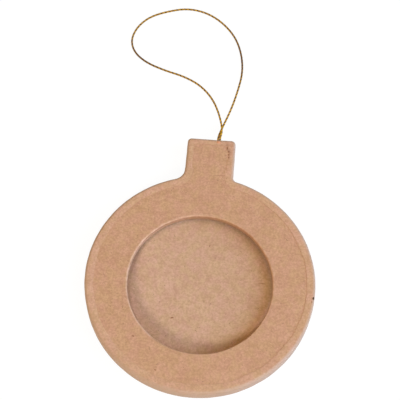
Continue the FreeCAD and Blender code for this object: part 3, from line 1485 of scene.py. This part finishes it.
@dataclass
class TwistedYarn:
    """Yarns laid side by side and twisted into one strand, with painted glint brightest where it leaves
    the neck.
    """

    bright_x: float
    bright_y: float
    diameter: float = 0.91
    pitch: float = 1.9
    fullness: float = 0.54
    plies: int = 3
    sides: int = 8
    step: float = 0.14
    # Where the painted glint is full, how fast it fades, its share along the loop, and the turns where it
    # is dimmest.
    bright_reach: float = 3.5
    bright_fade: float = 10.0
    loop_share: float = 0.7
    dim_turns: tuple[tuple[float, float, float], ...] = ((-34.0, 101.0, 10.0), (10.0, 102.0, 13.0))

    def painted_glint_at(self, x: float, y: float) -> float:
        """How strong the painted glint is at a point: full at the neck, least at two turns of the loop.

        Args:
            x: Plan position.
            y: Plan position.

        Returns:
            Brightness, from 0 to 1.
        """
        away = math.hypot(x - self.bright_x, y - self.bright_y)
        kept = bell(max(0.0, away - self.bright_reach), self.bright_fade)
        painted_light_mark = max(bell(math.hypot(x - at_x, y - at_y), reach) for at_x, at_y, reach in self.dim_turns)
        return kept + (1 - kept) * self.loop_share * (1 - painted_light_mark)

    def even(self, line: np.ndarray) -> np.ndarray:
        """Spread points evenly along a line.

        Args:
            line: Points in millimetres.

        Returns:
            Points about one step apart.
        """
        gaps = np.linalg.norm(np.diff(line, axis=0), axis=1)
        along = np.concatenate([[0.0], np.cumsum(gaps)])
        count = max(8, int(along[-1] / self.step))
        wanted = np.linspace(0, along[-1], count + 1)
        return np.column_stack([np.interp(wanted, along, line[:, axis]) for axis in range(3)])

    def frames(self, line: np.ndarray) -> tuple[np.ndarray, np.ndarray]:
        """Directions across a line that turn as little as they can.

        Args:
            line: Points in millimetres.

        Returns:
            Two directions across, for each point.
        """
        ahead = unit(np.gradient(line, axis=0))
        first = np.zeros_like(line)
        start = np.cross(ahead[0], (0.0, 0.0, 1.0))
        first[0] = start / np.linalg.norm(start)
        for index in range(1, len(line)):
            side = first[index - 1] - ahead[index] * np.dot(first[index - 1], ahead[index])
            first[index] = side / np.linalg.norm(side)
        return first, np.cross(ahead, first)

    def tube(self, middle: np.ndarray, outward: np.ndarray, radius: float) -> list[np.ndarray]:
        """Points round one yarn, ring by ring.

        Args:
            middle: Middle line of the yarn.
            outward: Direction from the strand's middle to the yarn's, at each point.
            radius: Radius of the yarn.

        Returns:
            The points in millimetres.
        """
        ahead = unit(np.gradient(middle, axis=0))
        across = unit(outward - ahead * np.sum(outward * ahead, axis=1)[:, None])
        beside = np.cross(ahead, across)
        points = []
        for row in range(len(middle)):
            for side in range(self.sides):
                angle = 2 * math.pi * side / self.sides
                offset = across[row] * math.cos(angle) + beside[row] * math.sin(angle)
                points.append(middle[row] + offset * radius)
        return points

    def unrolled(self, distance: np.ndarray) -> list[tuple[float, float]]:
        """Distance along and share of the way round at the corners of a yarn's faces.

        Args:
            distance: Distance along the strand of each ring.

        Returns:
            One pair for each corner, first of the sides and then of the two ends.
        """
        corners = []
        for near, far in zip(distance, distance[1:]):
            for side in range(self.sides):
                left, right = side / self.sides, (side + 1) / self.sides
                corners += [(near, left), (near, right), (far, right), (far, left)]
        for end in (distance[0], distance[-1]):
            corners += [(end, 0.5)] * self.sides
        return corners

    def build(
        self, name: str, line: np.ndarray, materials: list[Material], phase: float = 0.0
    ) -> bpy.types.Object:
        """Make the strand as one mesh, one tube for each yarn.

        Args:
            name: Name of the piece.
            line: Middle line in millimetres.
            materials: One material for each yarn.
            phase: Turn of the twist at its start.

        Returns:
            The new object.
        """
        line = self.even(line)
        first, second = self.frames(line)
        yarn_r = self.diameter / 2 * self.fullness
        orbit = self.diameter / 2 - yarn_r
        distance = np.arange(len(line)) * np.linalg.norm(np.diff(line, axis=0), axis=1).mean()
        points, faces, slots, strand = [], [], [], []
        for ply in range(self.plies):
            turn = 2 * math.pi * (distance / self.pitch + ply / self.plies) + phase
            outward = first * np.cos(turn)[:, None] + second * np.sin(turn)[:, None]
            start = len(points)
            points += self.tube(line + outward * orbit, outward, yarn_r)
            faces += band(len(line), self.sides, start)
            for low in (start, len(points) - self.sides):
                faces.append(tuple(range(low, low + self.sides)))
            slots += [ply] * (len(faces) - len(slots))
            strand += self.unrolled(distance)
        marks = {"painted_glint": [self.painted_glint_at(x, y) for x, y, _ in points]}
        mesh = Maker.mesh(name, points, faces, materials, marks)
        layer = mesh.uv_layers.new(name="strand")
        layer.data.foreach_set("uv", np.array(strand, dtype=np.float32).ravel())
        mesh.polygons.foreach_set("material_index", slots)
        return Maker.piece(mesh)


@dataclass
class HangingLoop:
    """The gold thread: out of the neck, round its loop on the floor, and back."""

    outline: Outline
    hole: ThreadHole
    yarn: TwistedYarn
    length: float = 210.0
    nominal_d: float = 0.8
    gap: float = 0.08
    lead_out: float = 1.5
    lean: float = 0.2
    floor_gap: float = 0.05
    knot_depth: float = 8.0
    knot_len: float = 3.2
    knot_turns: float = 3.0
    knot_r: float = 0.62
    knot_taper: float = 0.25
    knot_steps: int = 40
    knot_phase: float = 1.0

    def route(self) -> list[Point]:
        """Control points of the loop, as the solid has them.

        Returns:
            The points in metres.
        """
        lying = self.yarn.diameter / 2 + self.floor_gap
        loop = [
            (1.6, 7.5, 2.9),
            (-2.6, 21.2, 0.5),
            (-9.0, 29.0, lying),
            (-17.2, 33.5, lying),
            (-26.7, 36.0, lying),
            (-35.3, 39.3, lying),
            (-41.2, 44.1, lying),
            (-43.5, 50.5, lying),
            (-41.4, 57.6, lying),
            (-36.3, 63.5, lying),
            (-28.7, 67.1, lying),
            (-19.4, 69.7, lying),
            (-10.5, 68.3, lying),
            (-2.7, 63.7, lying),
            (3.8, 56.4, lying),
            (7.3, 47.5, lying),
            (8.4, 38.0, lying),
            (6.9, 28.7, lying),
            (4.5, 18.7, lying),
            (1.1, 8.7, 1.1),
        ]
        top = self.outline.top_y
        beside = (self.yarn.diameter + self.gap) / 2
        x, level = self.hole.x, self.hole.level
        points = [
            (x + beside, top - self.knot_depth, level),
            (x + beside - self.lean, top + self.lead_out, level),
        ]
        points += [(x + out, top + up, z) for out, up, z in loop]
        points += [
            (x - beside - self.lean, top + self.lead_out, level),
            (x - beside, top - self.knot_depth, level),
        ]
        return [(x * MM, y * MM, z * MM) for x, y, z in points]

    def build(self, finishes: Finishes) -> None:
        """Args:
            finishes: Finishes of the frame.
        """
        line = Maker.line(self.route(), "thread line")
        yarns = [finishes.gold, finishes.gold, finishes.umber]
        thread = self.yarn.build("hanging_thread", line / MM, yarns)
        Maker.settle(thread, Slot.GOLD_THREAD, "hanging_cord")
        knot = self.build_knot(yarns)
        drawn = float(np.linalg.norm(np.diff(line, axis=0), axis=1).sum())
        log.info("thread %.1f mm long", drawn / MM)

    def build_knot(self, yarns: list[Material]) -> bpy.types.Object:
        """Wind one end round the other into the barrel knot inside the neck.

        Args:
            yarns: Materials of the yarns.

        Returns:
            The knot.
        """
        middle_y = self.outline.top_y - self.knot_depth - self.knot_len / 2
        control = []
        for index in range(self.knot_steps + 1):
            share = index / self.knot_steps
            angle = 2 * math.pi * self.knot_turns * share
            across = self.knot_r * (1 - self.knot_taper * abs(2 * share - 1) ** 3)
            x = self.hole.x + across * math.cos(angle)
            y = middle_y + (share - 0.5) * (self.knot_len - self.yarn.diameter)
            z = self.hole.level + across * math.sin(angle)
            control.append((x * MM, y * MM, z * MM))
        line = Maker.line(control, "knot line")
        knot = self.yarn.build("thread_knot", line / MM, yarns, self.knot_phase)
        return Maker.settle(knot, Slot.GOLD_THREAD, "cord_knot")


@dataclass
class FibreScatter:
    """Short fibres that lie on the paper, scattered by a node tree."""

    name: str
    density: float
    length: float
    thickness: float
    lowest: float
    seed: int
    bend: float = 0.2
    level_face: float = 0.97
    steps: int = 4
    sides: int = 5
    least: Point = (0.5, 0.35, 0.3)
    most: Point = (1.4, 1.3, 0.6)

    def tree(self) -> bpy.types.NodeTree:
        """Build the node tree.

        Returns:
            The tree, with named inputs for its sizes.
        """
        tree = bpy.data.node_groups.new(self.name, "GeometryNodeTree")
        kinds = {"Surface": "Geometry", "Seed": "Int", "Finish": "Material"}
        for label in ("Surface", "Density", "Length", "Thickness", "Bend", "Lowest", "Seed", "Finish"):
            kind = "NodeSocket" + kinds.get(label, "Float")
            tree.interface.new_socket(label, in_out="INPUT", socket_type=kind)
        tree.interface.new_socket("Fibres", in_out="OUTPUT", socket_type="NodeSocketGeometry")
        desk = NodeDesk(tree)
        given = desk.add("NodeGroupInput").outputs
        points = desk.add(
            "GeometryNodeDistributePointsOnFaces",
            {
                "Mesh": given["Surface"],
                "Selection": self.open_faces(desk, given["Lowest"]),
                "Density": given["Density"],
                "Seed": given["Seed"],
            },
            distribute_method="RANDOM",
        )
        spin = self.between(desk, (0.0, 0.0, 0.0), (0.0, 0.0, 2 * math.pi), given["Seed"])
        size = self.between(desk, self.least, self.most, given["Seed"])
        scale = desk.add("ShaderNodeVectorMath", {0: size, "Scale": given["Length"]}, operation="SCALE")
        copies = desk.add(
            "GeometryNodeInstanceOnPoints",
            {
                "Points": points.outputs["Points"],
                "Instance": self.fibre(desk, given),
                "Rotation": spin,
                "Scale": scale.outputs[0],
            },
        )
        solid = desk.add("GeometryNodeRealizeInstances", {0: copies.outputs[0]})
        dressing = {"Geometry": solid.outputs[0], "Material": given["Finish"]}
        dress = desk.add("GeometryNodeSetMaterial", dressing)
        desk.add("NodeGroupOutput", {0: dress.outputs[0]})
        return tree

    def open_faces(self, desk: NodeDesk, lowest: Socket) -> Socket:
        """Choose the faces that lie open: level ones above a height.

        Args:
            desk: The tree's nodes.
            lowest: The height.

        Returns:
            1 on such a face, or else 0.
        """
        normal, place = (
            desk.add("ShaderNodeSeparateXYZ", {0: desk.add(kind).outputs[0]}).outputs["Z"]
            for kind in ("GeometryNodeInputNormal", "GeometryNodeInputPosition")
        )
        facing = desk.math("GREATER_THAN", normal, self.level_face)
        return desk.math("MULTIPLY", facing, desk.math("GREATER_THAN", place, lowest))

    def fibre(self, desk: NodeDesk, given: bpy.types.NodeOutputs) -> Socket:
        """Make one bent fibre of length 1.

        Args:
            desk: The tree's nodes.
            given: The tree's inputs.

        Returns:
            Its mesh.
        """
        middle = desk.add("ShaderNodeCombineXYZ", {"Y": given["Bend"]}).outputs[0]
        start, end = (-0.5, 0.0, 0.0), (0.5, 0.0, 0.0)
        arc = desk.add(
            "GeometryNodeCurveQuadraticBezier",
            {"Resolution": self.steps, "Start": start, "Middle": middle, "End": end},
        )
        radius = desk.math("DIVIDE", given["Thickness"], given["Length"])
        ring = desk.add("GeometryNodeCurvePrimitiveCircle", {"Resolution": self.sides, "Radius": radius})
        inputs = {"Curve": arc.outputs[0], "Profile Curve": ring.outputs[0], "Fill Caps": True}
        return desk.add("GeometryNodeCurveToMesh", inputs).outputs[0]

    def between(self, desk: NodeDesk, least: Point, most: Point, seed: Socket) -> Socket:
        """Random vector between two others, by a fixed seed."""
        given = {0: least, 1: most, "Seed": seed}
        return desk.add("FunctionNodeRandomValue", given, data_type="FLOAT_VECTOR").outputs[0]

    def build(self, surface: bpy.types.Object, finish: Material) -> bpy.types.Object:
        """Scatter the fibres on a piece.

        Args:
            surface: Piece that they lie on.
            finish: Their material.

        Returns:
            The fibres as one plain mesh.
        """
        piece = put_in_scene(self.name, surface.data.copy())
        scatter = piece.modifiers.new("fibres", "NODES")
        scatter.node_group = self.tree()
        values = {
            "Density": self.density / MM**2,
            "Length": self.length * MM,
            "Thickness": self.thickness * MM,
            "Bend": self.bend,
            "Lowest": self.lowest * MM,
            "Seed": self.seed,
            "Finish": finish,
        }
        for item in scatter.node_group.interface.items_tree:
            if item.in_out == "INPUT" and item.name in values:
                scatter[item.identifier] = values[item.name]
        Maker.apply(piece)
        return Maker.settle(piece, Slot.KRAFT_FACE)


@dataclass(frozen=True)
class Splinter:
    """One fibre or crumb pressed into the paper, at a listed place."""

    x: float
    y: float
    z: float
    length: float
    width: float
    turn: float
    bend: float = 0.08
    tip: float = 0.06
    flatness: float = 0.45

    def points(self, sides: int, steps: int) -> list[Point]:
        """Rings of points along the splinter.

        Args:
            sides: Points round it.
            steps: Rings along it.

        Returns:
            The points in millimetres.
        """
        turn = math.radians(self.turn)
        found = []
        for step in range(steps):
            share = step / (steps - 1) * 2 - 1
            along = share * self.length / 2
            bow = self.bend * self.length * (1 - share * share)
            thick = self.width / 2 * math.sqrt(max(self.tip, 1 - share**4))
            for side in range(sides):
                angle = 2 * math.pi * side / sides
                across = bow + thick * math.cos(angle)
                x = self.x + along * math.cos(turn) - across * math.sin(turn)
                y = self.y + along * math.sin(turn) + across * math.cos(turn)
                found.append((x, y, self.z + self.flatness * thick * math.sin(angle)))
        return found


@dataclass
class PlacedMarks:
    """The crumbs, fibres and creases that catch the eye on this one frame."""

    layers: Layers
    finishes: Finishes
    sides: int = 6
    steps: int = 7
    sunk: float = 0.12

    def build_piece(self, name: str, finish: Material, seed: float, splinters: list[Splinter]) -> None:
        """Make one piece of marks.

        Args:
            name: Name of the piece.
            finish: Its material.
            seed: Seed of the surface that it lies on.
            splinters: The marks.
        """
        points, faces = [], []
        for splinter in splinters:
            start = len(points)
            lift = self.layers.waves(splinter.x, splinter.y, seed)
            points += [(x, y, z + lift) for x, y, z in splinter.points(self.sides, self.steps)]
            faces += band(self.steps, self.sides, start)
            for low in (start, len(points) - self.sides):
                faces.append(tuple(range(low, low + self.sides)))
        piece = Maker.piece(Maker.mesh(name, points, faces, [finish]))
        Maker.settle(piece, Slot.KRAFT_FACE)

    def build_face(self) -> None:
        """Make the marks on the face and on the paper's lips."""
        face, lip, seed = self.layers.face(), self.layers.total, self.layers.face_seed
        sunk = lip - self.sunk
        crumbs = [Splinter(46.75, -12.9, sunk, 1.2, 0.85, 84)]
        spots = [
            Splinter(7.75, 50.75, lip, 0.5, 0.34, 80),
            Splinter(7.85, 48.0, lip, 0.42, 0.3, 100),
            Splinter(7.05, 52.4, lip, 1.2, 0.22, 100),
            Splinter(7.9, 49.4, lip, 1.0, 0.2, 85),
            Splinter(46.2, -14.5, lip, 0.6, 0.36, 75),
        ]
        flake = [Splinter(3.1, 54.9, sunk, 1.9, 1.4, -4, 0.02)]
        flecks = [
            Splinter(-25.0, -34.9, face, 0.9, 0.42, -20),
            Splinter(-14.9, -48.2, face, 0.9, 0.38, -30),
        ]
        creases = [
            Splinter(5.4, 39.1, face, 8.2, 0.2, 5, 0.02),
            Splinter(6.4, 46.75, face, 2.2, 0.16, 5, 0.03),
        ]
        self.build_piece("face_crumbs", self.finishes.crumb, seed, crumbs)
        self.build_piece("torn_spots", self.finishes.torn, seed, spots)
        self.build_piece("lifted_flake", self.finishes.flake, seed, flake)
        self.build_piece("face_flecks", self.finishes.speck, seed, flecks)
        self.build_piece("face_creases", self.finishes.crease, seed, creases)

    def build_floor(self) -> None:
        """Make the marks on the floor of the window."""
        floor, seed = self.layers.back_top, self.layers.floor_seed
        crumbs = [
            Splinter(-10.25, -24.4, floor, 1.3, 0.5, 15),
            Splinter(2.8, 8.5, floor, 0.8, 0.34, 70),
        ]
        creases = [Splinter(25.6, -6.6, floor, 3.4, 0.26, 4, 0.04)]
        self.build_piece("floor_crumbs", self.finishes.speck, seed, crumbs)
        self.build_piece("floor_creases", self.finishes.crease, seed, creases)


@dataclass
class PictureFrame:
    """The whole ornament, built board by board."""

    outline: Outline
    layers: Layers
    hole: ThreadHole
    finishes: Finishes
    window_r: float = 29.9
    floor_dents: tuple[tuple[float, float, float, float], ...] = (
        (22.5, -6.9, 0.7, 0.06),
        (25.5, -6.6, 0.7, 0.06),
    )
    dark_fibres: tuple[float, float, float] = (0.03, 0.8, 0.05)
    pale_fibres: tuple[float, float, float] = (0.05, 1.0, 0.04)
    fibre_depth: float = 0.3
    fibre_seed: int = 11

    def build_boards(self) -> tuple[bpy.types.Object, bpy.types.Object]:
        """Make the front and back boards and dress the middle one.

        Returns:
            The front and the back board.
        """
        outline, layers = self.outline, self.layers
        front_levels = (layers.front_low, layers.face(), layers.face_seed)
        back_levels = (layers.back(), layers.back_top, layers.floor_seed)
        front = Card("front_card", "front_board", outline, layers, *front_levels, window_r=self.window_r)
        back = Card("back_card", "back_board", outline, layers, *back_levels, dents=self.floor_dents)
        boards = front.build(self.finishes.face), back.build(self.finishes.floor)
        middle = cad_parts["spacer_board"]
        middle.data.materials.clear()
        middle.data.materials.append(self.finishes.core)
        log.info("spacer_board dressed")
        return boards

    def build_paper(self) -> None:
        """Make the paper round the body and round the neck."""
        for name, node, strip in (
            ("rim_paper", "rim_wrap", Strip.RIM),
            ("neck_paper", "neck_wrap", Strip.NECK),
        ):
            paper = PaperStrip(name, node, strip, self.outline, self.layers, self.hole)
            paper.build(self.finishes.wrap)

    def build_fibres(self, front: bpy.types.Object, back: bpy.types.Object) -> None:
        """Scatter dark and pale fibres over the visible faces.

        Args:
            front: The front board.
            back: The back board.
        """
        dark = ("dark", self.dark_fibres, self.finishes.dark_fibre)
        pale = ("pale", self.pale_fibres, self.finishes.pale_fibre)
        seed = self.fibre_seed
        for place, surface, level in (
            ("face", front, self.layers.face()),
            ("floor", back, self.layers.back_top),
        ):
            for kind, sizes, finish in (dark, pale):
                lowest = level - self.fibre_depth
                FibreScatter(f"{place}_{kind}_fibres", *sizes, lowest, seed).build(surface, finish)
                seed += 1

    def build_marks(self) -> None:
        """Place the few marks that catch the eye."""
        marks = PlacedMarks(self.layers, self.finishes)
        marks.build_face()
        marks.build_floor()

    def build_thread(self) -> None:
        """Make the thread, with its painted glint brightest where it leaves the neck."""
        yarn = TwistedYarn(self.hole.x, self.outline.top_y)
        HangingLoop(self.outline, self.hole, yarn).build(self.finishes)

    def build(self) -> None:
        """Make every piece."""
        front, back = self.build_boards()
        self.build_paper()
        self.build_fibres(front, back)
        self.build_marks()
        self.build_thread()


@dataclass(frozen=True)
class Lamp:
    """A round soft lamp that looks at the frame's middle."""

    name: str
    turn: float
    rise: float
    size: float
    watts: float
    tint: Tone
    away: float = 2.0

    def build(self) -> None:
        """Hang the lamp."""
        data = bpy.data.lights.new(self.name, "AREA")
        data.shape = "DISK"
        data.size = self.size
        data.energy = self.watts
        data.color = self.tint
        lamp = put_in_scene(self.name, data)
        turn, rise = math.radians(self.turn), math.radians(self.rise)
        flat = math.cos(rise)
        aside = Vector((math.cos(turn) * flat, math.sin(turn) * flat, math.sin(rise)))
        lamp.location = aside * self.away
        lamp.rotation_euler = aside.to_track_quat("Z", "Y").to_euler()


@dataclass
class Studio:
    """Camera, lamps, floor and background."""

    aim: Point = (-3.01, 30.38, 0.0)
    heading: float = 2.4425
    tilt: float = 24.0355
    roll: float = 2.2262
    distance: float = 515.545
    lens: float = 108.0
    sensor: float = 36.0
    nearest: float = 0.01
    farthest: float = 50.0
    world_strength: float = 0.27
    world_tint: Tone = (1.03, 0.78, 0.41)
    lamps: tuple[Lamp, ...] = (
        Lamp("lamp near the left", -117.0, 31.0, 0.5, 20.6, (1.03, 0.94, 0.84)),
        Lamp("window on the right", -12.0, 33.0, 2.1, 42.0, (0.54, 0.75, 1.07)),
        Lamp("low light on the right", 9.0, 14.0, 1.2, 20.0, (0.48, 0.68, 1.06)),
        Lamp("lamp overhead", 20.0, 75.0, 1.5, 7.0, (1.0, 0.66, 0.2)),
    )
    floor_size: float = 6.0
    floor_bounce: float = 0.85
    floor_seen: float = 0.6
    floor_glow: float = 1.1
    glow_share: float = 0.86

    def build_camera(self) -> None:
        """Place the camera at the photograph's angle."""
        data = bpy.data.cameras.new("camera")
        data.lens = self.lens
        data.sensor_width = self.sensor
        data.sensor_fit = "HORIZONTAL"
        data.clip_start = self.nearest
        data.clip_end = self.farthest
        camera = put_in_scene("camera", data)
        turn = Matrix.Identity(4)
        for angle, axis in ((self.heading, "Z"), (self.tilt, "X"), (self.roll, "Z")):
            turn = turn @ Matrix.Rotation(math.radians(angle), 4, axis)
        place = (Vector(self.aim) + turn @ Vector((0.0, 0.0, self.distance))) * MM
        camera.matrix_world = Matrix.Translation(place) @ turn
        bpy.context.scene.camera = camera

    def build_world(self) -> None:
        """Give the world an even soft light, white where the camera sees it."""
        world = bpy.data.worlds.new("studio")
        bpy.context.scene.world = world
        world.use_nodes = True
        desk = NodeDesk(world.node_tree)
        light = {"Color": (*self.world_tint, 1), "Strength": self.world_strength}
        lit = desk.add("ShaderNodeBackground", light)
        seen = desk.add("ShaderNodeBackground", {"Color": (1, 1, 1, 1), "Strength": 1.0})
        desk.add("ShaderNodeOutputWorld", {"Surface": self.seen_or_lit(desk, seen, lit)})

    def build_floor(self) -> None:
        """Lay the white floor, which keeps a faint shadow of the frame."""
        half = self.floor_size / 2
        mesh = bpy.data.meshes.new("floor")
        corners = [(-half, -half, 0), (half, -half, 0), (half, half, 0), (-half, half, 0)]
        mesh.from_pydata(corners, [], [(0, 1, 2, 3)])
        desk = FinishDesk("white floor")
        bounce, matt = (
            desk.add("ShaderNodeBsdfDiffuse", {"Color": (white, white, white, 1)})
            for white in (self.floor_bounce, self.floor_seen)
        )
        glow = desk.add("ShaderNodeEmission", {"Strength": self.floor_glow})
        shares = {0: self.glow_share, 1: matt.outputs[0], 2: glow.outputs[0]}
        faint = desk.add("ShaderNodeMixShader", shares)
        desk.add("ShaderNodeOutputMaterial", {"Surface": self.seen_or_lit(desk, faint, bounce)})
        mesh.materials.append(desk.material)
        put_in_scene("floor", mesh)

    def seen_or_lit(self, desk: NodeDesk, seen: bpy.types.Node, lit: bpy.types.Node) -> Socket:
        """Show one shader to camera, glossy and transmission rays, and another to all others.

        Args:
            desk: Nodes of the tree.
            seen: Shader that shows.
            lit: Shader that lights the frame.

        Returns:
            The shader of both.
        """
        path = desk.add("ShaderNodeLightPath").outputs
        glossy = desk.math("MAXIMUM", path["Is Camera Ray"], path["Is Glossy Ray"])
        either = desk.math("MAXIMUM", glossy, path["Is Transmission Ray"])
        given = {0: either, 1: lit.outputs[0], 2: seen.outputs[0]}
        return desk.add("ShaderNodeMixShader", given).outputs[0]

    def build(self) -> None:
        """Set up the whole studio."""
        bpy.context.scene.view_settings.view_transform = "Standard"
        self.build_camera()
        for lamp in self.lamps:
            lamp.build()
        self.build_world()
        self.build_floor()
        log.info("studio made")


def main() -> None:
    """Build the studio, then the frame piece by piece."""
    logging.basicConfig(level=logging.INFO, format="%(name)s: %(message)s")
    Studio().build()
    PictureFrame(Outline(), Layers(), ThreadHole(), Finishes()).build()


if __name__ == "__main__":
    main()
